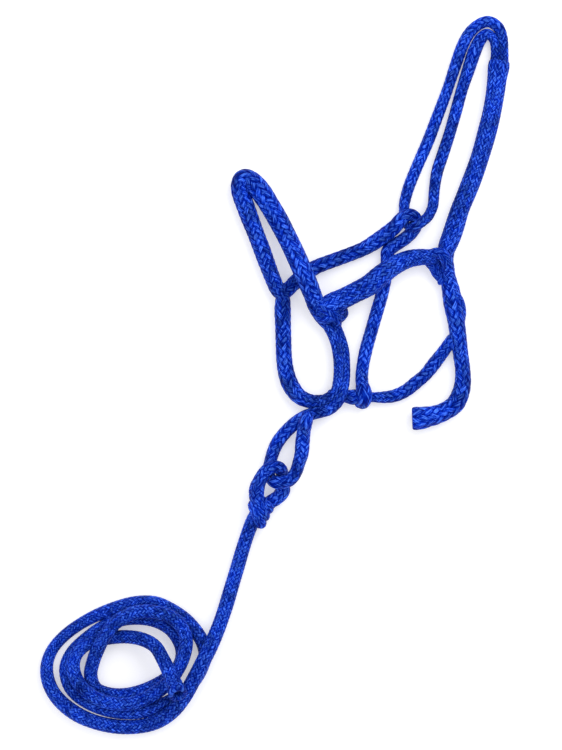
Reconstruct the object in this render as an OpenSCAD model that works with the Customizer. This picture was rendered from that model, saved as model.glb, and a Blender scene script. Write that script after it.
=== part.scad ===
// Rope halter with its own lead rope, laid out flat.
// +Z is up, +Y runs towards the crown, the origin is under the middle of the halter.
// Millimetres throughout.

/* [Halter ropes] */
// Width of the nose rope on the near side
nose_near_d = 17.8; // [15:0.1:18]
// Width of the nose rope on the far side
nose_far_d = 16.6; // [14:0.1:17]
// Width of the chin rope
chin_d = 15.4; // [13:0.1:15.6]
// Width of each near chin strand
strand_d = 10; // [8:0.1:10.2]
// Width of the doubled near cheek rope
near_cheek_d = 19.6; // [17:0.1:20]
// Width of the far cheek rope
far_cheek_d = 14.4; // [12:0.1:14.6]
// Width of the throat ropes
throat_d = 12.4; // [10:0.1:12.6]
// Width of the short link between throat and chin
link_d = 14.6; // [12:0.1:15]
// Width of the rope down the near side
side_d = 15.8; // [14:0.1:16]

/* [Crown, tail and tie loop] */
// Width of the thick crown rope
crown_d = 19; // [16:0.1:19.4]
// Width of each strand of the crown loop
crown_strand_d = 11.6; // [10:0.1:11.8]
// Width of the tail rope
tail_d = 15.6; // [14:0.1:15.8]
// Width of the tail's whipped end
tail_end_d = 23; // [20:0.1:23.4]
// Width of the tie loop's rope
tie_d = 12.4; // [11:0.1:12.6]

/* [Lead] */
// Width of the lead rope
lead_d = 14.5; // [12:0.1:14.6]
// Width of the loop at the lead's end
lead_loop_d = 13.6; // [12:0.1:13.8]
// Width of the lead knot
lead_knot_d = 25; // [22:0.1:26]
// Outside length and width of the coil
coil_size = [184, 152]; // [140:1:190]
// Inside length and width of the coil
coil_hole = [66, 40]; // [30:1:70]
// Height of the coil
coil_h = 30; // [29:0.5:32]

/* [Hidden] */

rope_blue = "royalblue";

// Sides of a rope's cross-section, and steps between two route points
sides = 8;
steps = 2;
// Space left between ropes that cross
slack = 0.5;
// How high a rope is lifted where it crosses another one
over_far_cheek = far_cheek_d + slack;
over_throat = throat_d + slack;
over_side = side_d + slack;
over_link = 0.8 * link_d + slack;
over_tie = tie_d + slack;
over_lead_loop = lead_loop_d + slack;
over_bight = 0.75 * crown_strand_d + slack;

// A route is a list of [x, y, lift, width]: lift is how far the rope is above
// lying on the floor, and width multiplies the rope's own width there.

// Noseband
nose_far_route = [
    [-109, -31.5, 0.5, 0.97], [-114, -16, 0, 1], [-119.5, 0, 0, 1], [-126, 17, 0, 1],
    [-132, 33, 0, 1.02], [-138, 48, 0, 1.02]];
nose_top_route = [
    [-138, 48, 0, 1.02], [-143, 62, 0, 1], [-144.5, 71, 2, 0.98], [-141, 78, 4, 0.98],
    [-134, 79.5, 5, 1], [-127, 73, 4, 1.03], [-120, 62, 2, 1.05], [-113, 51, 0, 1.07]];
nose_near_route = [
    [-113, 51, 0, 1], [-104, 35, 0, 1], [-95, 18, 1, 1], [-86.5, 1, 6, 1],
    [-79.5, -14, 13.5, 1], [-73.8, -27, over_far_cheek + 1, 1], [-68.5, -39, 13, 1],
    [-63.5, -50, 7, 0.97]];

// Lower ring
chin_route = [
    [-97.5, -51, 0, 1], [-97.2, -66, 0, 1], [-96.3, -85, 0, 1.02], [-95.7, -103, 0, 1.02],
    [-95, -120, 0, 1], [-92.5, -136, 0, 1], [-87, -149, 0, 1], [-78, -159.5, 0, 1],
    [-66, -165.5, 0, 0.93], [-55, -166, 2, 0.8], [-47, -162.5, 8, 0.7]];
near_inner_route = [
    [-47, -162.5, 8, 1.07], [-40.5, -155, over_link, 1.04], [-36.6, -145, 10, 1.04],
    [-35, -132, 6, 1.04], [-34.8, -118, 5.8, 1.04], [-36, -104, 5.8, 1.04],
    [-39.5, -92, 5, 1.04], [-44, -82, 4, 1.04]];
near_outer_route = [
    [-35, -80, 0, 0.96], [-29.5, -95, 0, 0.96], [-27.2, -110, 0, 0.96],
    [-26.9, -125, 0, 0.96], [-27, -139, 3, 0.96], [-28, -151, 9.5, 0.96],
    [-30.5, -161, over_link, 0.98]];
second_strand_route = [
    [-30.5, -161, over_link, 0.98], [-36, -170, 9, 1.04], [-46, -176, 4.5, 1.06],
    [-56, -178, 7, 1.08], [-66, -179.3, over_tie, 1.1]];

// Cheeks
cheek_knot_route = [
    [-58.8, -60, 2, 0.85], [-53, -68, 1, 1.04], [-46.5, -76, 0, 1.1], [-41, -87, 0, 0.94]];
near_cheek_route = [
    [-43, -61, 6, 1.02], [-30, -53.5, 8, 1.04], [-17, -46.5, 10, 1.05],
    [-3, -38, 12, 1.04], [11, -28, over_throat, 1.02], [25, -18, 12, 0.97],
    [40, -10.5, 8, 0.9], [54, -7.5, 6, 0.86], [67, -8, 8, 0.84]];
crown_hitch_route = [
    [62, -8, 7.5, 1], [71, -7, 12.5, 1], [79, -5.5, over_side, 1], [87, -6, over_side, 1],
    [94, -9, 8, 0.95]];
hitch_loop_route = [
    [77, -37, 3, 1], [71.5, -30, 3, 1], [69.5, -21, 4, 1], [70.5, -12, 6, 1]];
side_route = [
    [83, 3, 0, 1.1], [83.5, -12, 0, 1], [85, -28, 0, 1], [87.5, -45, 0, 1.08],
    [91, -60, 0, 1.18], [93.5, -77, 0, 1.16], [96, -93, 0, 1.08], [98, -109.5, 0, 1]];
tuck_route = [
    [86, -44, 12, 0.9], [93, -50, 10, 1], [99, -59, 5, 1], [101, -70, 1, 1],
    [100.5, -81, 0, 0.8]];
far_cheek_route = [
    [-82, -34.5, 0, 1], [-73.8, -27.3, 0, 1], [-60, -18, 0, 1], [-42, -11.5, 0, 1],
    [-24, -5, 0, 1], [-8, 1.5, 0, 1], [6, 9.5, 0, 1.04]];
far_splice_route = [
    [-105.4, -41, 0, 1.06], [-102, -46.5, 0, 1.02], [-96.5, -47.5, 0, 1],
    [-90, -42, 0, 1.02], [-82, -34.5, 0, 1]];
eye_route = [
    [6, 9.5, 0, 1.04], [16, 17, 2, 1.04], [26, 26, 7, 1.04], [34, 35, over_bight, 1],
    [42, 39, 8, 0.94], [49, 36, 4, 0.9], [50.5, 28, 1, 0.9], [45, 19.5, 0, 0.92],
    [37, 11.5, 0, 0.95], [28, 4.5, 0, 0.94], [20.5, -2.5, 0, 0.9]];
bight_route = [
    [36.5, 46.3, 0, 0.9], [36, 38, 0, 0.75], [38.5, 29, 2, 0.72], [43.5, 24, 10, 0.75],
    [49.5, 26, far_cheek_d + slack, 0.85], [56, 30, 12.5, 0.9], [62.5, 35.5, 7, 0.92],
    [65.8, 42.4, 3, 0.9]];

// Throat
throat_far_route = [
    [20.5, -2.5, 0, 1], [19.5, -14, 0, 1], [16.5, -30, 0, 1], [12, -49, 0, 1],
    [6.5, -68, 0, 1], [1, -88, 0, 1], [-4.5, -107, 0, 1], [-8.5, -123, 0, 1.02],
    [-10, -137, 0, 1.02], [-9, -149, 0, 1]];
throat_near_route = [
    [90, -99, 1, 0.92], [80, -111.5, 0, 1], [69, -125, 0, 1], [59, -136.5, 0, 1],
    [49, -145.5, 0, 1], [38, -154, 0, 1.02], [26, -160, 0, 1], [14, -162, 0, 0.9],
    [3, -162.3, 0, 0.8]];
throat_knot_route = [
    [-9.5, -147, 0, 0.78], [-8, -156, 1, 1.15], [-7, -164, 1, 1.2], [-7, -172, 0, 0.85]];
link_route = [
    [-12, -161.5, 0, 1], [-21, -161.5, 0, 1], [-29, -161, 0, 0.86], [-37, -159, 0, 0.72]];

// Crown
crown_lower_route = [
    [83, 3, 0, 1], [87, 15, 0, 1], [91, 27, 0, 1.01], [94.6, 36, 0, 1]];
crown_route = [
    [98.4, 46.2, 0, 1], [105, 64, 0, 0.98],
    [113, 84, 0, 0.96], [120, 104, 0, 0.94], [126, 126, 0, 0.94], [131, 148, 0, 0.94],
    [135.5, 170, 0, 0.93], [138.5, 188, 0, 0.95], [139.8, 200, 0, 1]];
crown_splice_route = [
    [139.8, 198, 0, 1.05], [140.5, 204, 0, 1.16], [141.2, 209, 0, 1]];
strand_outer_route = [
    [145.6, 208, 2, 0.78], [145.6, 220, 1, 0.8], [144.5, 233, 0, 0.88],
    [139.5, 244.5, 0, 0.98], [130, 251, 0, 1], [119, 249, 0, 1], [108.5, 239.5, 0, 1],
    [100.5, 225, 0, 1], [92.5, 202, 0, 1], [83.5, 175, 0, 1], [72.5, 147, 0, 1],
    [61.5, 119.5, 0, 1], [51, 94, 0, 1], [41.5, 71, 0, 1], [37, 54, 0, 0.98]];
strand_inner_route = [
    [136, 208, 2, 0.76], [136.2, 219, 1, 0.78], [134.2, 230, 0, 0.86],
    [128, 236.5, 0, 0.88], [121, 231, 0, 0.92], [114.5, 218.5, 0, 0.94],
    [106.5, 199, 0, 0.92], [99, 176, 0, 0.9], [93, 153, 0, 0.92], [86, 128, 0, 0.94],
    [79, 105, 0, 0.94], [73, 86, 0, 0.94], [70, 68, 0.5, 0.94], [68.5, 50, 2.3, 0.92]];

// Tail
tail_route = [
    [99.5, -119, 0, 1], [101, -132, 0, 1], [101, -146, 0, 1], [98.5, -158, 0, 1.02],
    [92, -169, 0, 1.06], [82, -176.5, 0, 1.1], [70, -180.5, 0, 1.18]];
tail_end_route = [
    [70, -180.5, 0, 0.8], [62, -182, 0, 0.88], [54, -183, 0, 0.94], [46, -183.5, 0, 0.94]];

// Tie loop
tie_left_route = [
    [-74, -183.5, over_tie, 1], [-84, -190.5, 7, 1], [-94.5, -199.5, 1, 1],
    [-103.5, -210, 0, 1], [-109.5, -221, 0, 1], [-113, -232, 0, 1],
    [-115.5, -241, 0, 1], [-113, -250, 6, 0.97]];
tie_right_route = [
    [-113, -250, 6, 0.97], [-106, -255.5, 14, 0.93], [-97, -255.4, over_lead_loop + 3, 0.93],
    [-88, -252, 16, 0.95], [-81.5, -244, 13, 0.95], [-78, -235, 8, 0.98],
    [-76, -224, 3, 1], [-74.8, -212, 0, 1], [-73.5, -200, 0, 1], [-71, -188, 0, 1]];

// Lead
lead_loop_route = [
    [-124.5, -273, 6, 1], [-127, -263, 12, 1], [-125.5, -252, 17.5, 0.97],
    [-118, -242.5, over_tie + 5, 0.96], [-108.5, -237.5, over_tie + 4, 0.95],
    [-100.5, -239.5, 9, 0.93], [-97.5, -247, 0, 0.93], [-97, -256, 0, 0.95],
    [-96, -265, 0, 1], [-102, -272, 0, 1], [-110, -277, 0, 1]];
lead_knot_route = [
    [-116, -272.5, 0, 0.8], [-120, -280, 0, 1.04], [-124.5, -289, 0, 1.04],
    [-128.5, -298, 0, 0.78]];
lead_route = [
    [-128.5, -298, 0, 1], [-134, -314, 0, 1], [-140, -332, 0, 1], [-146, -350, 0, 1],
    [-153, -373, 0, 1], [-160, -395, 0, 1], [-168, -416, 2, 1], [-178, -438, 7, 1]];
lead_end_route = [
    [-228, -455, 0, 1], [-221, -464, 0, 1], [-215, -474, 0, 1], [-210, -485, 2, 1.05]];
coil_centre = [-271, -457];
coil_hole_centre = [-277, -453];

// Point on the smooth curve between route points i and i + 1, with t from 0 to 1
function between(route, i, t) =
    let (
        a = route[max(i - 1, 0)],
        b = route[i],
        c = route[i + 1],
        d = route[min(i + 2, len(route) - 1)])
    0.5 * (2 * b + (c - a) * t + (2 * a - 5 * b + 4 * c - d) * t * t
        + (3 * b - a - 3 * c + d) * t * t * t);

// The whole route, smoothed
function smoothed(route) = [
    for (i = [0:len(route) - 2]) for (s = [0:steps - 1]) between(route, i, s / steps),
    route[len(route) - 1]];

function unit(v) = v / norm(v);

// Centre, and radius, of a rope of width d at one smoothed point
function centre_of(p, d) = [p.x, p.y, max(p.z, 0) + p[3] * d / 2];
function radius_of(p, d) = p[3] * d / 2;

// Stations [centre, direction, radius] along a rope
function stations(route, d) =
    let (
        p = smoothed(route),
        last = len(p) - 1,
        c = [for (q = p) centre_of(q, d)])
    [for (i = [0:last])
        [c[i], unit(c[min(i + 1, last)] - c[max(i - 1, 0)]), radius_of(p[i], d)]];

// Stations that close an end with a dome; way is -1 before the start and 1 past the end
function dome(s, way) = [
    for (a = way < 0 ? [80, 55, 28] : [28, 55, 80])
        [s[0] + way * s[2] * sin(a) * s[1], s[1], s[2] * cos(a)]];

// One corner of the ring round a station; flat sides face up and down
function corner(s, k) =
    let (
        side = unit([-s[1].y, s[1].x, 0]),
        up = cross(s[1], side),
        a = (k + 0.5) * 360 / sides,
        r = s[2] / cos(180 / sides))
    s[0] + r * (cos(a) * side + sin(a) * up);

// Closed skin over a row of stations
module skin(row) {
    last = len(row) - 1;
    points = [for (s = row) for (k = [0:sides - 1]) corner(s, k)];
    around = [
        for (i = [0:last - 1]) for (k = [0:sides - 1])
            let (n = (k + 1) % sides, a = i * sides, b = a + sides)
            for (f = [[a + k, b + k, a + n], [a + n, b + k, b + n]]) f];
    start_cap = [for (k = [0:sides - 1]) k];
    end_cap = [for (k = [sides - 1:-1:0]) last * sides + k];
    polyhedron(points, concat([start_cap], around, [end_cap]), convexity = 6);
}

// A rope of width d along a route, with domed ends where asked
module rope(route, d, dome_start = false, dome_end = false) {
    row = stations(route, d);
    skin(concat(
        dome_start ? dome(row[0], -1) : [],
        row,
        dome_end ? dome(row[len(row) - 1], 1) : []));
}

// Outline of an oval of a given length and width
function oval(centre, size, count) = [
    for (k = [0:count - 1])
        let (a = k * 360 / count)
        centre + [size.x * cos(a), size.y * sin(a)] / 2];

// Halter frame

module chin_rope() {
    color(rope_blue) rope(chin_route, chin_d);
}

module near_chin_inner() {
    color(rope_blue) rope(near_inner_route, strand_d);
}

module near_chin_outer() {
    color(rope_blue) rope(near_outer_route, strand_d);
}

module chin_second_strand() {
    color(rope_blue) rope(second_strand_route, strand_d);
}

module near_cheek_knot() {
    color(rope_blue) rope(cheek_knot_route, near_cheek_d);
}

module near_cheek_rope() {
    color(rope_blue) rope(near_cheek_route, near_cheek_d);
}

module near_crown_hitch() {
    color(rope_blue) rope(crown_hitch_route, throat_d);
}

module near_hitch_loop() {
    color(rope_blue) rope(hitch_loop_route, 0.8 * strand_d);
}

module near_side_rope() {
    color(rope_blue) rope(side_route, side_d);
}

module throat_tuck() {
    color(rope_blue) rope(tuck_route, 0.9 * strand_d, true, true);
}

module throat_rope_near() {
    color(rope_blue) rope(throat_near_route, throat_d);
}

module throat_knot() {
    color(rope_blue) rope(throat_knot_route, side_d, true, true);
}

module throat_link() {
    color(rope_blue) rope(link_route, link_d);
}

module throat_rope_far() {
    color(rope_blue) rope(throat_far_route, throat_d);
}

module far_cheek_eye() {
    color(rope_blue) rope(eye_route, far_cheek_d);
}

module far_cheek_rope() {
    color(rope_blue) rope(far_cheek_route, far_cheek_d);
}

module far_cheek_splice() {
    color(rope_blue) rope(far_splice_route, far_cheek_d);
}

module crown_rope_lower() {
    color(rope_blue) rope(crown_lower_route, crown_d);
}

module crown_loop_bight() {
    color(rope_blue) rope(bight_route, crown_strand_d);
}

// Noseband

module nose_rope_near() {
    color(rope_blue) rope(nose_near_route, nose_near_d, false, true);
}

module nose_rope_top() {
    color(rope_blue) rope(nose_top_route, nose_far_d);
}

module nose_rope_far() {
    color(rope_blue) rope(nose_far_route, nose_far_d, true, false);
}

// Crown

module crown_rope() {
    color(rope_blue) rope(crown_route, crown_d, true, false);
}

module crown_splice() {
    color(rope_blue) rope(crown_splice_route, crown_d);
}

module crown_strand_outer() {
    color(rope_blue) rope(strand_outer_route, crown_strand_d, false, true);
}

module crown_strand_inner() {
    color(rope_blue) rope(strand_inner_route, crown_strand_d, false, true);
}

// Tail

module tail_rope() {
    color(rope_blue) rope(tail_route, tail_d, true, false);
}

module tail_end() {
    color(rope_blue) rope(tail_end_route, tail_end_d);
}

// Tie loop

module tie_loop_left() {
    color(rope_blue) rope(tie_left_route, tie_d, true, false);
}

module tie_loop_right() {
    color(rope_blue) rope(tie_right_route, tie_d, false, true);
}

// Lead

module lead_loop() {
    color(rope_blue) rope(lead_loop_route, lead_loop_d);
}

module lead_knot() {
    color(rope_blue) rope(lead_knot_route, lead_knot_d);
}

module lead_rope() {
    color(rope_blue) rope(lead_route, lead_d);
}

module lead_coil() {
    color(rope_blue) linear_extrude(coil_h) difference() {
        polygon(oval(coil_centre, coil_size, 48));
        polygon(oval(coil_hole_centre, coil_hole, 32));
    }
}

module lead_end() {
    color(rope_blue) translate([0, 0, coil_h]) rope(lead_end_route, lead_d);
}

chin_rope();
near_chin_inner();
near_chin_outer();
chin_second_strand();
near_cheek_knot();
near_cheek_rope();
near_crown_hitch();
near_hitch_loop();
near_side_rope();
throat_tuck();
throat_rope_near();
throat_knot();
throat_link();
throat_rope_far();
far_cheek_eye();
far_cheek_rope();
far_cheek_splice();
crown_rope_lower();
crown_loop_bight();
nose_rope_near();
nose_rope_top();
nose_rope_far();
crown_rope();
crown_splice();
crown_strand_outer();
crown_strand_inner();
tail_rope();
tail_end();
tie_loop_left();
tie_loop_right();
lead_loop();
lead_knot();
lead_rope();
lead_coil();
lead_end();
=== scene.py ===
"""Rope halter with its lead rope, laid out flat.

Every rope is a braided tube that follows its own route. Metres throughout, +Z up, +Y towards the crown.
"""

import math

import bmesh
import bpy
import numpy as np
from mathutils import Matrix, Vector


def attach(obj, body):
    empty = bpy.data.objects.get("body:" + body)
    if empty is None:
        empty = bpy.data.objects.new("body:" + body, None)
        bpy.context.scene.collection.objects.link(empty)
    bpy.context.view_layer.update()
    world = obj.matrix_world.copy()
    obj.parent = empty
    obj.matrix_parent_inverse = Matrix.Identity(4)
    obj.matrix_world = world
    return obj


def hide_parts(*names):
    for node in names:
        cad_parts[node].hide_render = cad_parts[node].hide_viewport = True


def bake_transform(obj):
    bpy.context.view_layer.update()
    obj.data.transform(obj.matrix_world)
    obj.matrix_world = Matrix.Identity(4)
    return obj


bl_info = {
    "name": "Rope halter",
    "version": (1, 0, 0),
    "blender": (4, 5, 0),
    "location": "3D View > Sidebar > Halter",
    "description": "Braids the ropes of a rope halter and its lead round the packed frame",
    "category": "Object",
}

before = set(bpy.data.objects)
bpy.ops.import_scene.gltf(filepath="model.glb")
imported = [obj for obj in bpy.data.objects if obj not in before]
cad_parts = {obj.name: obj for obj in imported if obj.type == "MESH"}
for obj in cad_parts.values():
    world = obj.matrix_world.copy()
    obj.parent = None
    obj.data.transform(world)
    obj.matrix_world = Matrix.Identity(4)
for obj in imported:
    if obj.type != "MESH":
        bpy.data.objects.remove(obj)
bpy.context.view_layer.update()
MM = 0.001

# A route is a list of [x, y, lift, width] in millimetres: lift is how far the rope is above lying on
# the floor, and width multiplies the rope's own width there.

# How high a rope is lifted where it crosses another one
OVER_FAR_CHEEK = 14.9
OVER_THROAT = 12.9
OVER_SIDE = 16.3
OVER_LINK = 12.2
OVER_TIE = 12.9
OVER_LEAD_LOOP = 14.1
OVER_BIGHT = 9.2

NOSE_FAR = [
    [-96, -50, 2, 0.8], [-102.5, -43.5, 1, 0.95], [-108.2, -31, 0.5, 1], [-114, -16, 0, 1.03],
    [-119.8, 0, 0, 1.03], [-126.3, 17, 0, 1.03], [-132.5, 33, 0, 1.08], [-138, 48, 0, 1.1]]
NOSE_TOP = [
    [-138, 48, 0, 1.1], [-143, 62, 0, 1.13], [-144.5, 71, 2, 1.1], [-141.5, 78.5, 4, 1.1],
    [-134.5, 78.5, 5, 1.1], [-127, 72, 4, 1.2], [-119.8, 62, 2, 1.3], [-113, 51.5, 0, 1.26]]
NOSE_NEAR = [
    [-113, 51.5, 0, 1.06], [-103.5, 35.5, 0, 1.04], [-94.5, 18.5, 1, 1], [-86, 1, 6, 1.02],
    [-79.3, -14, 13.5, 1.02], [-73.8, -27, OVER_FAR_CHEEK + 1, 1.02], [-68.5, -39, 13, 1.02],
    [-64, -50, 7, 0.96], [-60, -60.5, 3, 0.94], [-54, -71, 1, 0.9], [-48.5, -79, 1, 0.8]]

CHIN = [
    [-98.5, -42, 0, 0.8], [-97, -51, 0, 0.95], [-97.2, -66, 0, 1.12], [-96.7, -85, 0, 1.06],
    [-96.2, -103, 0, 1.03], [-95.5, -120, 0, 1.05], [-93, -136, 0, 1.08], [-88, -149.5, 0, 1.1],
    [-79, -161, 0, 1.05], [-66.3, -166.5, 0, 0.97], [-55, -166.3, 2, 0.88], [-48, -163, 8, 0.72]]
NEAR_INNER = [
    [-48, -163, 8, 1.1], [-39.5, -155.7, OVER_LINK, 1.04], [-36.6, -145, 10, 1.04],
    [-35.5, -132, 6, 1.04], [-36, -118, 5.8, 1.04], [-38.5, -104, 5.8, 1.04],
    [-43, -92, 5, 1.04], [-48.5, -82, 4, 1.04], [-53, -73, 4, 1]]
NEAR_OUTER = [
    [-46, -72, 5, 0.9], [-39.7, -81.5, 3, 1], [-33.5, -95.5, 1, 0.98], [-29.2, -110, 0, 0.96],
    [-27.9, -125, 0, 0.96], [-27.8, -139, 3, 0.96], [-29.5, -151, 9.5, 0.96],
    [-32, -160, OVER_LINK, 0.98]]
SECOND_STRAND = [
    [-32, -160, OVER_LINK, 0.98], [-37.3, -168.4, 9, 1.1], [-46, -175, 5, 1.24],
    [-56, -178, 4, 1.25], [-66, -180.6, 4, 1.25]]
TIE_LEFT = [
    [-74, -184.3, 4, 1], [-84, -191, 3, 1.02], [-93.8, -200.2, 1, 1.02],
    [-102.3, -211, 0, 1.02], [-107.5, -222, 0, 0.98], [-110.6, -232.5, 0, 0.96],
    [-112.5, -241.5, 0, 0.95], [-111, -250, 6, 0.9]]
TIE_RIGHT = [
    [-111, -250, 6, 0.9], [-105.5, -255, 14, 0.95], [-97, -255.3, OVER_LEAD_LOOP + 3, 0.95],
    [-88.5, -252, 16, 0.95], [-82.6, -243.7, 13, 0.96], [-79.5, -234.5, 8, 0.98],
    [-76.4, -224, 3, 1.06], [-75.4, -212, 3, 1.1], [-74, -200, 9, 1.06],
    [-72, -189.5, OVER_TIE + 4.5, 1.08], [-70.5, -183, OVER_TIE + 4.5, 1]]

CHEEK = [
    [-55, -67, 5, 0.85], [-44, -60, 6, 1.13], [-30.5, -53.5, 8, 1.1], [-17, -46.7, 10, 1.08],
    [-2.5, -39, 12, 1.08], [11.3, -27.5, OVER_THROAT, 1.06], [25, -17.8, 12, 0.97],
    [40, -10.5, 8, 0.9], [54, -8, 6, 0.86], [67, -8, 8, 0.8]]
KNOT_WRAP_UPPER = [
    [-60, -57, 4, 0.9], [-54, -61, 12, 1], [-46, -67, 15, 1], [-39, -74, 11, 1], [-38, -81, 3, 0.9]]
KNOT_WRAP_LOWER = [
    [-59, -69, 0, 0.9], [-55, -74, 8, 1], [-48, -74.5, 13, 1], [-40, -70, 13, 1],
    [-33.5, -65.5, 8, 1], [-31, -70, 2, 1], [-36.5, -77, 0, 0.9]]
CROWN_HITCH = [
    [58, -8, 6, 1], [66, -5.5, 11, 1], [74, -4, 16, 1], [80, -7.5, OVER_SIDE + 1, 1],
    [83.8, -15, 14, 1], [85.7, -24.5, 7, 0.95], [87, -34, 2, 0.9]]
HITCH_LOOP = [
    [83, -38, 2, 0.9], [77.5, -32, 3, 1], [72.5, -26, 4, 1.15], [68.5, -18.5, 5, 1.2],
    [62, -12, 6, 1.1]]
HITCH_STRAND = [
    [76, -36, 6, 0.9], [75, -27, 7.5, 1], [74, -18, 8, 1], [74, -8, 10, 0.9]]
SIDE = [
    [84.5, 4, 0, 0.95], [83.5, -4, 0, 0.92], [82.8, -14, 0, 0.92], [84.5, -28, 0, 0.98],
    [88, -45, 0, 1.15], [90.3, -60, 0, 1.2], [93.5, -77, 0, 1.14], [95.7, -93, 0, 1.1],
    [98, -109.5, 0, 1]]
TUCK = [
    [88, -42, 11, 0.8], [93, -49, 11, 1], [98, -58, 6, 1.05], [100, -69, 2, 1],
    [99, -82, 1, 0.8]]
TAIL = [
    [99.3, -119, 0, 1], [101, -132, 0, 1], [101, -146, 0, 1.06], [98.4, -158, 0, 1.12],
    [92.5, -169.5, 0, 1.18], [82, -177, 0, 1.2], [70.5, -181.7, 0, 1.28]]
TAIL_END = [[62, -183.5, 0, 0.93], [54, -185, 0, 1.02], [47.3, -185.3, 0, 1.02]]

FAR_CHEEK_SPLICE = [
    [-107, -34, 0, 0.8], [-104.4, -40.5, 0, 1.0], [-101, -46, 0, 1.02], [-96, -47.5, 0, 1],
    [-90, -42, 0, 1.02], [-82, -34, 0, 1.05]]
FAR_CHEEK = [
    [-82, -34, 0, 1.05], [-73.8, -27.3, 0, 1.05], [-60, -18.5, 0, 1.05], [-42, -11.6, 0, 1.03],
    [-24, -5, 0, 1], [-8, 1.5, 0, 1.02], [5.5, 9.5, 0, 1.1]]
EYE = [
    [5.5, 9.5, 0, 1.1], [16, 17, 2, 1.08], [26.3, 25.6, 7, 1.02], [34, 34.5, OVER_BIGHT, 0.98],
    [42, 38.5, 8, 0.93], [48.5, 35.5, 4, 0.9], [49.7, 28, 1, 0.9], [45, 19.7, 0, 0.94],
    [36.5, 12, 0, 0.96], [26.5, 5.5, 0, 0.98], [18.8, -1.5, 0, 0.98]]
THROAT_FAR = [
    [18.8, -2.5, 0, 1.15], [18.3, -14, 0, 1.12], [16, -30, 0, 1.06], [12, -49, 0, 1.05],
    [6.5, -68, 0, 1.06], [0.7, -88, 0, 1.09], [-4.7, -107, 0, 1.09], [-8.2, -123, 0, 1.04],
    [-10, -137, 0, 1.05], [-9.7, -147, 2, 1.08], [-8, -156, 6, 1.28], [-7.5, -163, 6, 1.25],
    [-9, -168, 2, 1.05], [-13, -168.5, 0, 0.8]]
THROAT_NEAR = [
    [95, -94, 3, 0.8], [89.5, -98.5, 1, 1.02], [80, -111.5, 0, 1.04], [69.4, -125.3, 0, 1.1],
    [59.8, -137.2, 0, 1.03], [49.4, -146, 0, 1.08], [38.4, -154.7, 0, 1.05],
    [26, -160.3, 0, 1.03], [14, -162, 0, 0.97], [3, -162, 1, 0.85], [-5, -162, 2, 0.8]]
LINK = [
    [-5, -161.5, 2, 0.8], [-12, -161.5, 0, 1.06], [-21, -161.8, 0, 1.08], [-29, -160.5, 0, 0.88],
    [-37, -158.7, 0, 0.72], [-44, -158, 0, 0.6]]

CROWN_LOWER = [
    [81.5, -8, 0, 0.75], [83.7, 3, 0, 1], [88.2, 14.6, 0, 1.05], [92.2, 26.6, 0, 1.03],
    [95.1, 36, 0, 1]]
CROWN = [
    [98.5, 46.2, 0, 0.98], [105.8, 63.8, 0, 0.99], [113.6, 84, 0, 1], [120.4, 104, 0, 1.01],
    [126.7, 126, 0, 1.02], [132.2, 148, 0, 1.01], [136.3, 170, 0, 0.98], [138.6, 188, 0, 1.02],
    [140.2, 200, 0, 1.15], [141, 206, 0, 1.12]]
STRAND_OUTER = [
    [145.8, 196, 3, 0.84], [146.2, 208, 2, 0.85], [146.2, 220, 1, 0.86], [144.9, 233.4, 0, 0.95],
    [140.2, 245, 0, 1.01], [130, 251.5, 0, 1], [119, 248.4, 0, 1], [108.6, 239, 0, 1.02],
    [100.8, 224.8, 0, 1.03], [92.7, 202, 0, 1.04], [83.7, 175, 0, 0.99], [73.1, 146.7, 0, 1.05],
    [62.6, 119.1, 0, 1.04], [51.6, 93.8, 0, 1.04], [42.2, 70.8, 0, 1.02], [37.4, 54, 0, 1]]
BIGHT = [
    [36.5, 46.3, 0, 0.95], [36, 38, 0, 0.78], [38.5, 29, 2, 0.74], [43.5, 24, 10, 0.75],
    [49.5, 26, OVER_FAR_CHEEK, 0.85], [55.7, 30.4, 12.5, 0.9], [62, 36, 7, 0.92],
    [65.8, 42.4, 3, 0.9]]
STRAND_INNER = [
    [68.4, 50, 2.3, 0.92], [70, 68, 0.5, 0.96], [72.9, 86, 0, 1.07], [79, 105, 0, 1.07],
    [86.5, 128, 0, 1.05], [93.7, 153, 0, 1.03], [100, 176, 0, 1.03], [107.3, 198.6, 0, 1.13],
    [114, 218.6, 0, 1.2], [120.6, 232, 0, 1.12], [128.3, 238, 0, 0.95], [135.4, 231.3, 0, 0.86],
    [137, 219, 1, 0.8], [136, 208, 2, 0.78], [134.7, 196, 3, 0.8]]

LEAD_LOOP = [
    [-121, -281, 4, 0.9], [-125.5, -273.5, 6, 1.1], [-125.6, -263, 12, 1.15],
    [-122.3, -253.3, 18.3, 1.03], [-116.7, -244, OVER_TIE + 5.8, 0.98],
    [-108.5, -238.5, OVER_TIE + 4, 1.02], [-100.5, -240, 9, 0.98], [-97.5, -247, 0, 0.97],
    [-97.5, -256, 0, 1.03], [-97.3, -265, 0, 1.12], [-102.4, -272, 0, 1.04],
    [-110, -277, 0, 1.02], [-117, -283, 2, 0.9]]
LEAD = [
    [-121, -283, 4, 1], [-129.7, -297.5, 0, 1.06], [-136, -313.4, 0, 1.02], [-141.8, -331.4, 0, 1],
    [-147.1, -349.7, 0, 1.02], [-154, -372.7, 0, 1.03], [-160.6, -394.8, 1, 1.05],
    [-168, -415.8, 5, 1.08], [-175.6, -433.6, 11, 1.1], [-182.8, -448.4, 14.5, 1.1],
    [-189.9, -462.4, 14.5, 1.08], [-197.4, -476.6, 14.5, 1.06], [-205.4, -490.8, 14.5, 1.07],
    [-215.8, -504.2, 12.5, 1.09], [-229, -515, 7, 1.08], [-244.5, -522, 1.5, 1.08]]
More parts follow.
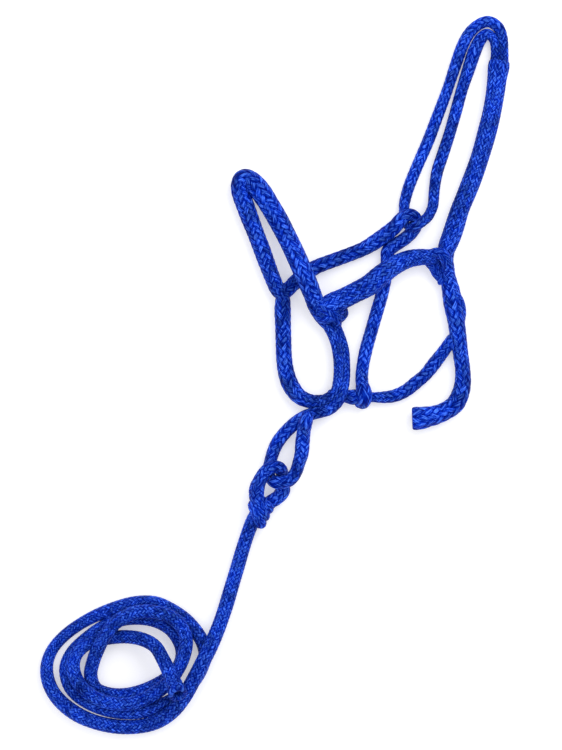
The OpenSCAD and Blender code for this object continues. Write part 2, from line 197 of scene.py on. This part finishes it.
# Turns of the coil, from the outside in
FIRST_TURN = [
    [-262, -524.8, 0, 1.06], [-281, -524.2, 0, 1.05], [-300.4, -520.4, 0, 1.05],
    [-318.9, -513.3, 0, 1.07], [-334.8, -503, 0, 1.07], [-347.8, -489.5, 0, 1.04],
    [-355.2, -474, 0, 1], [-356.8, -458, 0, 0.93], [-352.2, -442.6, 0, 0.87],
    [-341.8, -428.7, 0, 0.83], [-326.2, -415.7, 0, 0.83], [-305, -403.4, 0, 0.9],
    [-280, -394, 0, 1.03],
    [-259.4, -388.5, 0, 1.03], [-239, -388.4, 0, 1], [-223, -394.4, 0, 1], [-206.5, -405, 0, 1],
    [-194, -418, 0, 1], [-185.5, -431.5, 0, 1], [-182.5, -446, 0, 1], [-187, -461, 0, 1],
    [-195, -474.5, 0, 1], [-205, -486, 0, 1], [-220, -496, 0, 1]]
SECOND_TURN = [
    [-240, -504.5, 0, 1], [-262, -509, 0, 1], [-289, -506.5, 0, 1], [-313, -497, 0, 1],
    [-330, -482, 0, 1], [-335.8, -462, 0, 0.97], [-329.5, -444.5, 0, 0.95],
    [-316.5, -430.5, 0, 0.95], [-300, -418, 0, 0.97], [-280, -408, 0, 1],
    [-258.5, -405, 0, 1], [-238, -407.5, 0, 1],
    [-221.3, -416.4, 0, 1], [-211.3, -429.7, 0, 1], [-207.4, -443, 0, 1], [-210.3, -456, 0, 1],
    [-220.3, -467.7, 0, 1], [-234, -477.2, 0, 1], [-251, -485, 0, 1]]
THIRD_TURN = [
    [-270, -489.5, 0, 1], [-288.5, -489, 0, 1], [-303.2, -482.5, 0, 1], [-308.5, -468, 0, 1],
    [-305.5, -452.3, 4, 1], [-300, -438.5, 11, 1], [-293, -425, 17, 1], [-282.5, -411, 15.5, 1],
    [-268, -401.5, 13.5, 1], [-252, -397, 12.8, 1], [-235, -398, 12.6, 1], [-218.5, -404, 12, 1],
    [-207, -416, 12.5, 1], [-203, -430, 14.5, 1], [-205.5, -445, 15, 1], [-211.5, -459, 15, 1],
    [-221, -473, 13.5, 1], [-234, -484.5, 12.5, 1], [-250, -493.5, 11.8, 1]]
FOURTH_TURN = [
    [-268, -499, 11.5, 1], [-289, -497, 12, 1], [-307.5, -489, 12, 1], [-321, -476, 11.5, 1],
    [-327.3, -460, 11.3, 1], [-325, -445.5, 10.8, 1], [-315, -434.5, 7.5, 1],
    [-301, -429, 2.5, 1], [-284, -426.3, 1, 1], [-267.3, -425.5, 3, 1], [-251.2, -428, 8, 1],
    [-237.2, -435.3, 14.5, 1], [-228.3, -449, 20.5, 1], [-221.6, -462.5, 24.5, 1.03],
    [-216.6, -473.5, 28.5, 1.15], [-213.2, -481.5, 33, 1.34], [-211.6, -485.5, 36.5, 1.4]]

# The lead knot: a strand wound round the lead between two points, in millimetres
KNOT_FROM = (-117.5, -275.0, 13.4)
KNOT_TO = (-126.5, -293.0, 13.4)
KNOT_TURNS = 2.2
KNOT_FIRST_ANGLE = 2.2
KNOT_STEPS = 30
KNOT_SLANT = -5
KNOT_OUT = 8.2

# Widths and radii in metres that no size in the panel gives
UPPER_WRAP_WIDTH = 0.0125
LOWER_WRAP_WIDTH = 0.0115
KNOT_STRAND_RADIUS = 0.0057

# Shares of a rope's width: a strand tucked into another rope, the hitch's small strand, and
# the knot's strand where it goes in
TUCKED_SHARE = 0.9
SMALL_STRAND_SHARE = 0.6
KNOT_END_SHARE = 0.8


def length(name, description, default):
    """A property that holds a length in metres."""
    return bpy.props.FloatProperty(
        name=name, description=description, default=default, min=0.001, max=5.0,
        precision=4, unit="LENGTH")


def colour(name, description, default):
    """A property that holds a colour."""
    return bpy.props.FloatVectorProperty(
        name=name, description=description, default=default, size=3, min=0.0, max=1.0,
        subtype="COLOR")


class HalterRopeSizes(bpy.types.PropertyGroup):
    nose_near: length("Nose rope, near side", "Width of the nose rope on the near side", 0.0196)
    nose_far: length("Nose rope, far side", "Width of the nose rope on the far side", 0.0166)
    chin: length("Chin rope", "Width of the chin rope", 0.0154)
    strand: length("Chin strands", "Width of each near chin strand", 0.0100)
    near_cheek: length("Near cheek", "Width of the doubled near cheek rope", 0.0196)
    far_cheek: length("Far cheek", "Width of the far cheek rope", 0.0144)
    throat: length("Throat ropes", "Width of the throat ropes", 0.0124)
    link: length("Link", "Width of the link between throat and chin", 0.0146)
    side: length("Side rope", "Width of the rope down the near side", 0.0158)
    crown: length("Crown rope", "Width of the thick crown rope", 0.0190)
    crown_strand: length("Crown loop", "Width of the crown loop's strands", 0.0116)
    tail: length("Tail", "Width of the tail rope", 0.0156)
    tail_end: length("Tail end", "Width of the tail's blunt end", 0.0230)
    tie: length("Tie loop", "Width of the tie loop's rope", 0.0134)
    lead: length("Lead rope", "Width of the lead rope", 0.0145)
    lead_loop: length("Lead loop", "Width of the loop at the lead's end", 0.0136)
    lead_length: length("Lead length", "Length of the lead rope from its knot to its cut end", 1.71)
    tail_length: length("Side and tail length", "Length of the side rope with its tail", 0.225)


class HalterBraid(bpy.types.PropertyGroup):
    relief: bpy.props.FloatProperty(
        name="Relief", description="Depth of the braid, as a share of the rope's radius",
        default=0.13, min=0.02, max=0.3, subtype="FACTOR")
    ring_gap: length("Ring gap", "Distance between two rings of a rope's surface", 0.00082)


# Colours of the rope and floor; the groove, back and crest colours are painted shade and painted
# highlights
class HalterColours(bpy.types.PropertyGroup):
    # Painted shade: the colour darkened down between the yarns, where shade falls
    painted_groove_shade: colour("Groove", "Colour down between the yarns", (0.0, 0.0015, 0.08))
    yarn: colour("Yarn", "Colour of the yarns' flanks", (0.0002, 0.008, 0.235))
    # Painted highlight: the yarns' raised backs coloured paler, where the light falls on them
    bright: colour("Bright", "Colour of the yarns' backs", (0.003, 0.036, 0.42))
    # Painted highlight: the palest colour, on the crests and filament streaks, stands for sheen
    painted_crest_highlight: colour("Crest", "Colour of the palest filaments", (0.05, 0.15, 0.7))
    floor: colour("Floor", "Colour of the floor", (0.7, 0.7, 0.7))


class HalterStudio(bpy.types.PropertyGroup):
    view_height: length("View height", "Height of the camera's picture of the floor", 0.825)
    lens: bpy.props.FloatProperty(
        name="Lens", description="Focal length of the camera in millimetres", default=200,
        min=20, max=300)
    key_power: bpy.props.FloatProperty(
        name="Key light", description="Power of the large soft light", default=18, min=0,
        max=1000, unit="POWER")
    floor_glow: bpy.props.FloatProperty(
        name="Floor glow", description="Light that the white paper floor gives off", default=0.42)
    sky: bpy.props.FloatProperty(
        name="Sky", description="Strength of the light from all round", default=0.82, min=0,
        max=10)


def placed(route, width):
    """Centres and radii, in metres, of a route whose rope is that many metres wide."""
    return [(x * MM, y * MM, max(lift, 0) * MM + share * width / 2, share * width / 2)
            for x, y, lift, share in route]


def joined(*stretches):
    """One row of centres and radii from (route, width) stretches that follow each other."""
    row = []
    for route, width in stretches:
        for point in placed(route, width):
            if not row or math.dist(row[-1][:3], point[:3]) > 3 * MM:
                row.append(point)
    return row


def smoothed(row, gap):
    """The row as a smooth curve, with its points about gap apart."""
    p = np.array(row)
    p = np.vstack([2 * p[0] - p[1], p, 2 * p[-1] - p[-2]])
    t = np.linspace(0, 1, 20, endpoint=False)[:, None]
    spans = []
    for a, b, c, d in zip(p, p[1:], p[2:], p[3:]):
        spans.append(0.5 * (2 * b + (c - a) * t + (2 * a - 5 * b + 4 * c - d) * t ** 2
                            + (3 * b - a - 3 * c + d) * t ** 3))
    fine = np.vstack([*spans, p[-2:-1]])
    along = np.concatenate([[0], np.cumsum(np.linalg.norm(np.diff(fine[:, :3], axis=0), axis=1))])
    at = np.linspace(0, along[-1], math.ceil(along[-1] / gap) + 1)
    return at, np.stack([np.interp(at, along, fine[:, k]) for k in range(4)], axis=1)


def ring_axes(centres):
    """For each ring its direction and two axes across it, which don't twist along the rope."""
    ahead = np.gradient(centres, axis=0)
    ahead /= np.linalg.norm(ahead, axis=1)[:, None]
    side = np.cross((0, 0, 1), ahead[0])
    sides = []
    for direction in ahead:
        side = side - direction * side.dot(direction)
        side = side / np.linalg.norm(side)
        sides.append(side)
    sides = np.array(sides)
    return ahead, sides, np.cross(ahead, sides)


# Half a yarn's width, where the lanes that the yarns lie in are 1 apart
YARN_HALF = 0.54
# How far a yarn stays up before it dives under the next ones
FLATNESS = 1.7

# Braid styles: yarns each way round, length of a pick as a share of the radius, corners of a ring
# for each yarn, and distance between rings as a share of the usual one
BROAD = (10, 0.85, 7, 1)
EVEN = (10, 1.0, 7, 1)
SLIM = (8, 1.2, 7, 1)
FINE = (12, 0.7, 5, 1.3)
STUFFED = (16, 0.62, 5, 1)

# Height of the weave at which a rope has its own width, and the mean of its swells
WIDTH_LEVEL = 0.4
FULLNESS = 1.02
# Slow swells along a rope: share of its radius, length in metres, and how the start is shifted
SWELLS = ((0.018, 0.021, 1), (0.012, 0.0083, 2))
# The lead's route is braided at this share of its width, so its crests don't stand out too far
LEAD_FULLNESS = 0.97

# How a rope's end is closed: steps past the last ring, and shares of its radius
DOMED = [(math.sin(a), math.cos(a)) for a in (0.25, 0.5, 0.75, 1.0, 1.25, 1.45)] + [(1, 0)]
BLUNT = [(0.06, 0.99), (0.14, 0.95), (0.18, 0.88), (0.16, 0.7), (0.17, 0.45), (0.15, 0.2), (0.15, 0)]
HOLLOW = [(0.12, 0.97), (0.22, 0.88), (0.25, 0.75), (0.2, 0.6), (0.08, 0.5), (-0.2, 0.45),
          (-0.7, 0.42), (-1.0, 0.32), (-1.05, 0)]


def braid(a, b):
    """Height, from 0 to 1, of a braid whose yarns run two over and two under.

    One set of yarns lies on whole values of b and runs along a, the other the other way round.
    """
    def height(across, along, sign):
        lane = np.round(across)
        roundness = np.sqrt(np.clip(1 - ((across - lane) / YARN_HALF) ** 2, 0, 1))
        wave = np.clip(FLATNESS * sign * np.cos(math.pi / 2 * (along + lane - 0.5)), -1, 1)
        return 0.5 * roundness + 0.5 * wave

    return np.clip(np.maximum(height(b, a, 1), height(a, b, -1)), 0, 1)


def braided(name, row, style, start=DOMED, end=DOMED):
    """A closed braided tube along a row of centres and radii. Also gives its centreline."""
    settings = bpy.context.scene.halter_braid
    carriers, pick_share, columns, gap_share = style
    at, points = smoothed(row, settings.ring_gap * gap_share)
    centres, radii = points[:, :3], points[:, 3]
    swell = FULLNESS + sum(
        size * np.sin(at / span + offset * len(name)) for size, span, offset in SWELLS)
    pick = pick_share * radii
    phase = np.concatenate([[0], np.cumsum(np.diff(at) / pick[1:])])
    ahead, side, up = ring_axes(centres)
    rings = [(0, shift, share) for shift, share in reversed(start)]
    rings += [(k, 0, 1) for k in range(len(at))]
    rings += [(len(at) - 1, shift, share) for shift, share in end]
    station = np.array([k for k, _, _ in rings])
    shift = np.array([s for _, s, _ in rings])
    share = np.array([s for _, _, s in rings])
    way = np.where(np.arange(len(rings)) < len(start), -1, 1)
    reach = way * shift * radii[station]
    middle = centres[station] + reach[:, None] * ahead[station]
    ring_phase = phase[station] + reach / pick[station]

    around = carriers * columns
    bm = bmesh.new()
    bm.loops.layers.uv.new("UVMap")
    bmesh.ops.create_grid(
        bm, x_segments=around, y_segments=len(rings) - 1, size=0.5, calc_uvs=True)
    mesh = bpy.data.meshes.new(name)
    bm.to_mesh(mesh)
    grid = np.zeros(len(mesh.vertices) * 3, np.float32)
    mesh.vertices.foreach_get("co", grid)
    grid = grid.reshape(-1, 3)
    ring = np.round((grid[:, 1] + 0.5) * (len(rings) - 1)).astype(int)
    step = np.round((grid[:, 0] + 0.5) * around).astype(int) % around
    turn = step / around
    height = braid(carriers * turn + ring_phase[ring], carriers * turn - ring_phase[ring])
    relief = 1 + settings.relief * (height - WIDTH_LEVEL)
    radius = radii[station][ring] * swell[station][ring] * share[ring] * relief
    angle = 2 * math.pi * turn
    out = (np.cos(angle)[:, None] * side[station][ring]
           + np.sin(angle)[:, None] * up[station][ring])
    co = middle[ring] + radius[:, None] * out
    mesh.vertices.foreach_set("co", co.astype(np.float32).ravel())
    layer = mesh.uv_layers[0]
    uv = np.zeros(len(mesh.loops) * 2, np.float32)
    layer.uv.foreach_get("vector", uv)
    uv = uv.reshape(-1, 2)
    row_of = np.round(uv[:, 1] * (len(rings) - 1)).astype(int)
    uv = np.stack([carriers * uv[:, 0], ring_phase[row_of]], axis=1)
    layer.uv.foreach_set("vector", uv.astype(np.float32).ravel())
    bm.clear()
    bm.from_mesh(mesh)
    bmesh.ops.remove_doubles(bm, verts=bm.verts, dist=1e-7)
    for face in bm.faces:
        face.smooth = True
    bm.to_mesh(mesh)
    bm.free()
    piece = bpy.data.objects.new(name, mesh)
    bpy.context.scene.collection.objects.link(piece)
    mesh.materials.append(rope_fibre())
    return piece, [tuple(float(x) for x in c) for c in centres]


def flexes(piece):
    """Bakes the piece's placement into its mesh."""
    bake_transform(piece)


def rope_fibre():
    """Blue polypropylene yarn: painted shade down in the grooves, painted highlights on the crests and
    fine filaments along each yarn.
    """
    made = bpy.data.materials.get("rope_fibre")
    if made:
        return made
    colours = bpy.context.scene.halter_finish
    made = bpy.data.materials.new("rope_fibre")
    made.use_nodes = True
    nodes, links = made.node_tree.nodes, made.node_tree.links
    shader = nodes["Principled BSDF"]
    shader.inputs["Roughness"].default_value = 0.45
    shader.inputs["Specular IOR Level"].default_value = 0.07
    shader.inputs["Specular Tint"].default_value = (0.12, 0.3, 1, 1)
    shader.inputs["Sheen Weight"].default_value = 0.02
    shader.inputs["Sheen Roughness"].default_value = 0.5
    shader.inputs["Sheen Tint"].default_value = (0.1, 0.3, 1, 1)

    def calc(operation, *values):
        """A Math node's result; values are sockets or numbers."""
        node = nodes.new("ShaderNodeMath")
        node.operation = operation
        for slot, value in zip(node.inputs, values):
            if isinstance(value, (int, float)):
                slot.default_value = value
            else:
                links.new(value, slot)
        return node.outputs[0]

    def yarns(across, along, sign):
        """Height of one set of yarns, the yarn's own number and the place across it."""
        lane = calc("ROUND", across)
        place = calc("SUBTRACT", across, lane)
        edge = calc("DIVIDE", place, YARN_HALF)
        roundness = calc("SQRT", calc("MAXIMUM", calc("SUBTRACT", 1, calc("MULTIPLY", edge, edge)), 0))
        turn = calc("MULTIPLY", calc("SUBTRACT", calc("ADD", along, lane), 0.5), math.pi / 2)
        wave = calc("MULTIPLY", calc("COSINE", turn), FLATNESS * sign)
        wave = calc("MAXIMUM", calc("MINIMUM", wave, 1), -1)
        return calc("MULTIPLY", calc("ADD", roundness, wave), 0.5), lane, place

    weave = nodes.new("ShaderNodeUVMap")
    weave.uv_map = "UVMap"
    parts = nodes.new("ShaderNodeSeparateXYZ")
    links.new(weave.outputs[0], parts.inputs[0])
    a = calc("ADD", parts.outputs["X"], parts.outputs["Y"])
    b = calc("SUBTRACT", parts.outputs["X"], parts.outputs["Y"])
    right, right_lane, right_place = yarns(b, a, 1)
    left, left_lane, left_place = yarns(a, b, -1)
    height = calc("MAXIMUM", right, left)
    over = calc("GREATER_THAN", right, left)
    under = calc("SUBTRACT", 1, over)

    def upper(of_right, of_left):
        return calc("ADD", calc("MULTIPLY", over, of_right), calc("MULTIPLY", under, of_left))

    across = upper(right_place, left_place)
    along = upper(a, b)
    lane = upper(right_lane, calc("ADD", left_lane, 60))

    # The weave's height picks the colour: painted shade in the grooves, the yarn's own blue on its
    # flanks, painted highlights on its backs and crests
    painted_relief_light = nodes.new("ShaderNodeValToRGB")
    ramp = painted_relief_light.color_ramp
    ramp.elements[0].position = 0.3
    ramp.elements[0].color = (*colours.painted_groove_shade, 1)
    ramp.elements[1].position = 1.0
    ramp.elements[1].color = (*colours.painted_crest_highlight, 1)
    ramp.elements.new(0.64).color = (*colours.yarn, 1)
    ramp.elements.new(0.85).color = (*colours.bright, 1)

    # Filaments: noise drawn out along the yarn, with its contrast and its mean darkening. The streaks
    # show the yarn's filaments, and where they turn pale they are painted sheen
    contrast, darkening = 2.2, -0.85
    where = nodes.new("ShaderNodeCombineXYZ")
    links.new(calc("MULTIPLY", across, 5), where.inputs[0])
    links.new(calc("MULTIPLY", along, 0.7), where.inputs[1])
    links.new(calc("MULTIPLY", lane, 7.3), where.inputs[2])
    filament_and_sheen = nodes.new("ShaderNodeTexNoise")
    filament_and_sheen.inputs["Scale"].default_value = 1.0
    filament_and_sheen.inputs["Detail"].default_value = 4.0
    filament_and_sheen.inputs["Roughness"].default_value = 0.65
    links.new(where.outputs[0], filament_and_sheen.inputs["Vector"])
    fibres_and_sheen = calc("MULTIPLY_ADD", filament_and_sheen.outputs["Fac"], contrast, darkening)
    links.new(calc("MULTIPLY_ADD", height, 0.6, fibres_and_sheen), painted_relief_light.inputs[0])

    # Each pick has a shade of its own
    pick = nodes.new("ShaderNodeCombineXYZ")
    links.new(lane, pick.inputs[0])
    links.new(calc("FLOOR", calc("DIVIDE", calc("ADD", along, lane), 4)), pick.inputs[1])
    tone = nodes.new("ShaderNodeTexWhiteNoise")
    tone.noise_dimensions = "2D"
    links.new(pick.outputs[0], tone.inputs["Vector"])

    # Slow change of shade over the whole halter, where the rope is more or less stretched
    place = nodes.new("ShaderNodeTexCoord")
    patch = nodes.new("ShaderNodeTexNoise")
    patch.inputs["Scale"].default_value = 30.0
    patch.inputs["Detail"].default_value = 2.0
    links.new(place.outputs["Object"], patch.inputs["Vector"])

    shade = calc("MULTIPLY", tone.outputs["Value"], 0.7)
    shade = calc("MULTIPLY_ADD", patch.outputs["Fac"], 1.4, shade)
    level = nodes.new("ShaderNodeMapRange")
    level.inputs["From Min"].default_value = 0.55
    level.inputs["From Max"].default_value = 1.5
    level.inputs["To Min"].default_value = 0.5
    level.inputs["To Max"].default_value = 1.5
    links.new(shade, level.inputs["Value"])
    tinted = nodes.new("ShaderNodeVectorMath")
    tinted.operation = "SCALE"
    links.new(painted_relief_light.outputs["Color"], tinted.inputs[0])
    links.new(level.outputs["Result"], tinted.inputs["Scale"])
    links.new(tinted.outputs[0], shader.inputs["Base Color"])

    bump = nodes.new("ShaderNodeBump")
    bump.inputs["Strength"].default_value = 0.5
    bump.inputs["Distance"].default_value = 0.0009
    links.new(calc("MULTIPLY_ADD", filament_and_sheen.outputs["Fac"], 0.8, height), bump.inputs["Height"])
    links.new(bump.outputs["Normal"], shader.inputs["Normal"])
    return made


# The camera: the middle of its picture, the level it is measured from, and its sensor
VIEW_MIDDLE = (-0.099, -0.1375)
ROPE_LEVEL = 0.01
SENSOR_WIDTH = 36


class HALTER_OT_camera(bpy.types.Operator):
    """Set up the camera that looks straight down on the halter"""
    bl_idname = "halter.camera"
    bl_label = "Camera"

    def execute(self, context):
        studio = context.scene.halter_studio
        data = bpy.data.cameras.new("camera")
        data.lens = studio.lens
        data.sensor_width = SENSOR_WIDTH
        camera = bpy.data.objects.new("camera", data)
        context.scene.collection.objects.link(camera)
        away = studio.view_height / 2 / (data.sensor_width / 2 / studio.lens)
        camera.location = (*VIEW_MIDDLE, away + ROPE_LEVEL)
        data.clip_start, data.clip_end = 0.05, 50
        context.scene.camera = camera
        return {"FINISHED"}


class HALTER_OT_lead(bpy.types.Operator):
    """Braid the lead rope, its loop and its knot"""
    bl_idname = "halter.lead"
    bl_label = "Lead"

    def execute(self, context):
        sizes = context.scene.halter_sizes
        loop, _ = braided("lead_loop_braid", joined((LEAD_LOOP, sizes.lead_loop)), EVEN)
        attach(loop, "lead")
        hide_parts("lead_loop")
        wraps = []
        centre, past = np.array(KNOT_FROM), np.array(KNOT_TO)
        axis = (past - centre) / np.linalg.norm(past - centre)
        across = np.cross(axis, (0, 0, 1))
        for k in range(KNOT_STEPS + 1):
            t = k / KNOT_STEPS
            a = 2 * math.pi * KNOT_TURNS * t + KNOT_FIRST_ANGLE
            slant = KNOT_SLANT * math.cos(a)
            p = centre + (past - centre) * t + axis * slant
            p = p + KNOT_OUT * (math.cos(a) * across + math.sin(a) * np.array((0, 0, 1)))
            share = KNOT_END_SHARE if k in (0, KNOT_STEPS) else 1
            wraps.append((*(p * MM), KNOT_STRAND_RADIUS * share))
        knot, _ = braided("lead_knot_braid", wraps, SLIM)
        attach(knot, "lead")
        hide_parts("lead_knot")
        turns = FIRST_TURN + SECOND_TURN + THIRD_TURN + FOURTH_TURN
        row = joined((LEAD + turns, LEAD_FULLNESS * sizes.lead))
        lead, line = braided("lead_braid", row, FINE, end=HOLLOW)
        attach(lead, "lead")
        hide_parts("lead_rope", "lead_coil", "lead_end")
        return {"FINISHED"}


class HALTER_OT_side(bpy.types.Operator):
    """Braid the near side rope with its tail, the tuck and the crown hitch"""
    bl_idname = "halter.side"
    bl_label = "Side rope and tail"

    def execute(self, context):
        sizes = context.scene.halter_sizes
        row = joined((SIDE, sizes.side), (TAIL, sizes.tail), (TAIL_END, sizes.tail_end))
        rope, line = braided("side_and_tail_braid", row, EVEN, end=BLUNT)
        flexes(rope)
        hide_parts("near_side_rope", "tail_rope", "tail_end")
        for name, route, width, node in (
                ("crown_hitch_braid", CROWN_HITCH, sizes.throat, "near_crown_hitch"),
                ("hitch_loop_braid", HITCH_LOOP, TUCKED_SHARE * sizes.strand, "near_hitch_loop"),
                ("hitch_strand_braid", HITCH_STRAND, SMALL_STRAND_SHARE * sizes.strand,
                 "near_hitch_loop"),
                ("throat_tuck_braid", TUCK, TUCKED_SHARE * sizes.strand, "throat_tuck")):
            piece, _ = braided(name, joined((route, width)), SLIM)
            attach(piece, "halter_frame")
            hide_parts(node)
        return {"FINISHED"}


class HALTER_OT_noseband(bpy.types.Operator):
    """Braid the nose rope"""
    bl_idname = "halter.noseband"
    bl_label = "Noseband"

    def execute(self, context):
        sizes = context.scene.halter_sizes
        row = joined((NOSE_FAR, sizes.nose_far), (NOSE_TOP, sizes.nose_far),
                     (NOSE_NEAR, sizes.nose_near))
        rope, _ = braided("nose_braid", row, BROAD)
        flexes(rope)
        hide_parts("nose_rope_far", "nose_rope_top", "nose_rope_near")
        return {"FINISHED"}


class HALTER_OT_chin(bpy.types.Operator):
    """Braid the chin rope with its strands, and the tie loop"""
    bl_idname = "halter.chin"
    bl_label = "Chin and tie loop"

    def execute(self, context):
        sizes = context.scene.halter_sizes
        chin, _ = braided(
            "chin_braid", joined((CHIN, sizes.chin), (NEAR_INNER, sizes.strand)), EVEN)
        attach(chin, "halter_frame")
        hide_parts("chin_rope", "near_chin_inner")
        row = joined((NEAR_OUTER, sizes.strand), (SECOND_STRAND, sizes.strand),
                     (TIE_LEFT, sizes.tie), (TIE_RIGHT, sizes.tie))
        tie, _ = braided("tie_loop_braid", row, SLIM)
        flexes(tie)
        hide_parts("near_chin_outer", "chin_second_strand", "tie_loop_left", "tie_loop_right")
        return {"FINISHED"}


class HALTER_OT_cheeks(bpy.types.Operator):
    """Braid both cheek ropes, the throat rope that runs on from the far one and the near knot"""
    bl_idname = "halter.cheeks"
    bl_label = "Cheeks"

    def execute(self, context):
        sizes = context.scene.halter_sizes
        near, _ = braided("near_cheek_braid", joined((CHEEK, sizes.near_cheek)), STUFFED)
        far, _ = braided("far_cheek_and_throat_braid", joined(
            (FAR_CHEEK_SPLICE, sizes.far_cheek), (FAR_CHEEK, sizes.far_cheek),
            (EYE, sizes.far_cheek), (THROAT_FAR, sizes.throat)), SLIM)
        upper, _ = braided("knot_wrap_upper_braid", joined((KNOT_WRAP_UPPER, UPPER_WRAP_WIDTH)), SLIM)
        lower, _ = braided("knot_wrap_lower_braid", joined((KNOT_WRAP_LOWER, LOWER_WRAP_WIDTH)), SLIM)
        for piece in (near, far, upper, lower):
            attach(piece, "halter_frame")
        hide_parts("near_cheek_rope")
        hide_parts("far_cheek_splice", "far_cheek_rope", "far_cheek_eye", "throat_rope_far")
        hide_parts("near_cheek_knot")
        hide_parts("near_cheek_knot")
        return {"FINISHED"}


class HALTER_OT_throat(bpy.types.Operator):
    """Braid the near throat rope and the link to the chin, and hide the throat knot"""
    bl_idname = "halter.throat"
    bl_label = "Throat"

    def execute(self, context):
        sizes = context.scene.halter_sizes
        near, _ = braided("throat_near_braid", joined((THROAT_NEAR, sizes.throat)), SLIM)
        link, _ = braided("throat_link_braid", joined((LINK, sizes.link)), EVEN)
        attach(near, "halter_frame")
        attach(link, "halter_frame")
        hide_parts("throat_rope_near")
        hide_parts("throat_link", "throat_knot")
        return {"FINISHED"}


class HALTER_OT_crown(bpy.types.Operator):
    """Braid the crown rope and the crown loop"""
    bl_idname = "halter.crown"
    bl_label = "Crown"

    def execute(self, context):
        sizes = context.scene.halter_sizes
        rope, _ = braided(
            "crown_braid", joined((CROWN_LOWER, sizes.crown), (CROWN, sizes.crown)), STUFFED,
            end=BLUNT)
        flexes(rope)
        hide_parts("crown_rope_lower", "crown_rope", "crown_splice")
        loop, _ = braided("crown_loop_braid", joined(
            (STRAND_OUTER, sizes.crown_strand), (BIGHT, sizes.crown_strand),
            (STRAND_INNER, sizes.crown_strand)), SLIM)
        flexes(loop)
        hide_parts("crown_strand_outer", "crown_loop_bight", "crown_strand_inner")
        return {"FINISHED"}


# The stage: how far the floor is below the frame's, since crests reach under it, half the
# floor's side, the point the lights face, and each light's name, place, size and power share
FLOOR_DROP = 0.0014
FLOOR_HALF = 6
LIT_POINT = (-0.1, -0.14, 0)
LIGHTS = (("key", (0.7, 0.8, 1.3), 1.3, 1), ("fill", (-1.3, -0.6, 1.5), 1.6, 0.35))


class HALTER_OT_stage(bpy.types.Operator):
    """Set up the floor and the soft studio light"""
    bl_idname = "halter.stage"
    bl_label = "Stage"

    def execute(self, context):
        studio, colours = context.scene.halter_studio, context.scene.halter_finish
        bm = bmesh.new()
        bmesh.ops.create_grid(bm, x_segments=2, y_segments=2, size=FLOOR_HALF)
        mesh = bpy.data.meshes.new("floor")
        bm.to_mesh(mesh)
        bm.free()
        floor = bpy.data.objects.new("floor", mesh)
        floor.location.z = -FLOOR_DROP
        context.scene.collection.objects.link(floor)
        paper = bpy.data.materials.new("floor_paper")
        paper.use_nodes = True
        shader = paper.node_tree.nodes["Principled BSDF"]
        shader.inputs["Base Color"].default_value = (*colours.floor, 1)
        shader.inputs["Roughness"].default_value = 0.9
        shader.inputs["Emission Color"].default_value = (1, 1, 1, 1)
        shader.inputs["Emission Strength"].default_value = studio.floor_glow
        mesh.materials.append(paper)
        world = bpy.data.worlds.new("studio")
        world.use_nodes = True
        sky = world.node_tree.nodes["Background"]
        sky.inputs["Color"].default_value = (1, 1, 1, 1)
        sky.inputs["Strength"].default_value = studio.sky
        context.scene.world = world
        for name, place, size, share in LIGHTS:
            data = bpy.data.lights.new(name, "AREA")
            data.energy = studio.key_power * share
            data.size = size
            light = bpy.data.objects.new(name, data)
            light.location = place
            light.rotation_euler = direction_to(np.array(LIT_POINT) - np.array(place))
            context.scene.collection.objects.link(light)
        context.scene.view_settings.view_transform = "Standard"
        return {"FINISHED"}


def direction_to(way):
    """Turn that points an object's -Z along a direction."""
    return Vector(way).to_track_quat("-Z", "Y").to_euler()


class HALTER_PT_panel(bpy.types.Panel):
    """Lists the halter's operators and settings"""
    bl_label = "Rope halter"
    bl_idname = "HALTER_PT_panel"
    bl_space_type = "VIEW_3D"
    bl_region_type = "UI"
    bl_category = "Halter"

    def draw(self, context):
        for operator in OPERATORS:
            self.layout.operator(operator.bl_idname)
        scene = context.scene
        for group in (scene.halter_sizes, scene.halter_braid, scene.halter_finish,
                      scene.halter_studio):
            box = self.layout.box()
            for name in group.__annotations__:
                box.prop(group, name)


GROUPS = {
    "halter_sizes": HalterRopeSizes,
    "halter_braid": HalterBraid,
    "halter_finish": HalterColours,
    "halter_studio": HalterStudio,
}
OPERATORS = (
    HALTER_OT_camera, HALTER_OT_lead, HALTER_OT_side, HALTER_OT_noseband, HALTER_OT_chin,
    HALTER_OT_cheeks, HALTER_OT_throat, HALTER_OT_crown, HALTER_OT_stage)


def register():
    for kind in (*GROUPS.values(), *OPERATORS, HALTER_PT_panel):
        bpy.utils.register_class(kind)
    for name, group in GROUPS.items():
        setattr(bpy.types.Scene, name, bpy.props.PointerProperty(type=group))


def unregister():
    for name in GROUPS:
        delattr(bpy.types.Scene, name)
    for kind in (HALTER_PT_panel, *reversed(OPERATORS), *GROUPS.values()):
        bpy.utils.unregister_class(kind)


def main():
    register()
    for operator in OPERATORS:
        group, name = operator.bl_idname.split(".")
        getattr(getattr(bpy.ops, group), name)()


if __name__ == "__main__":
    main()
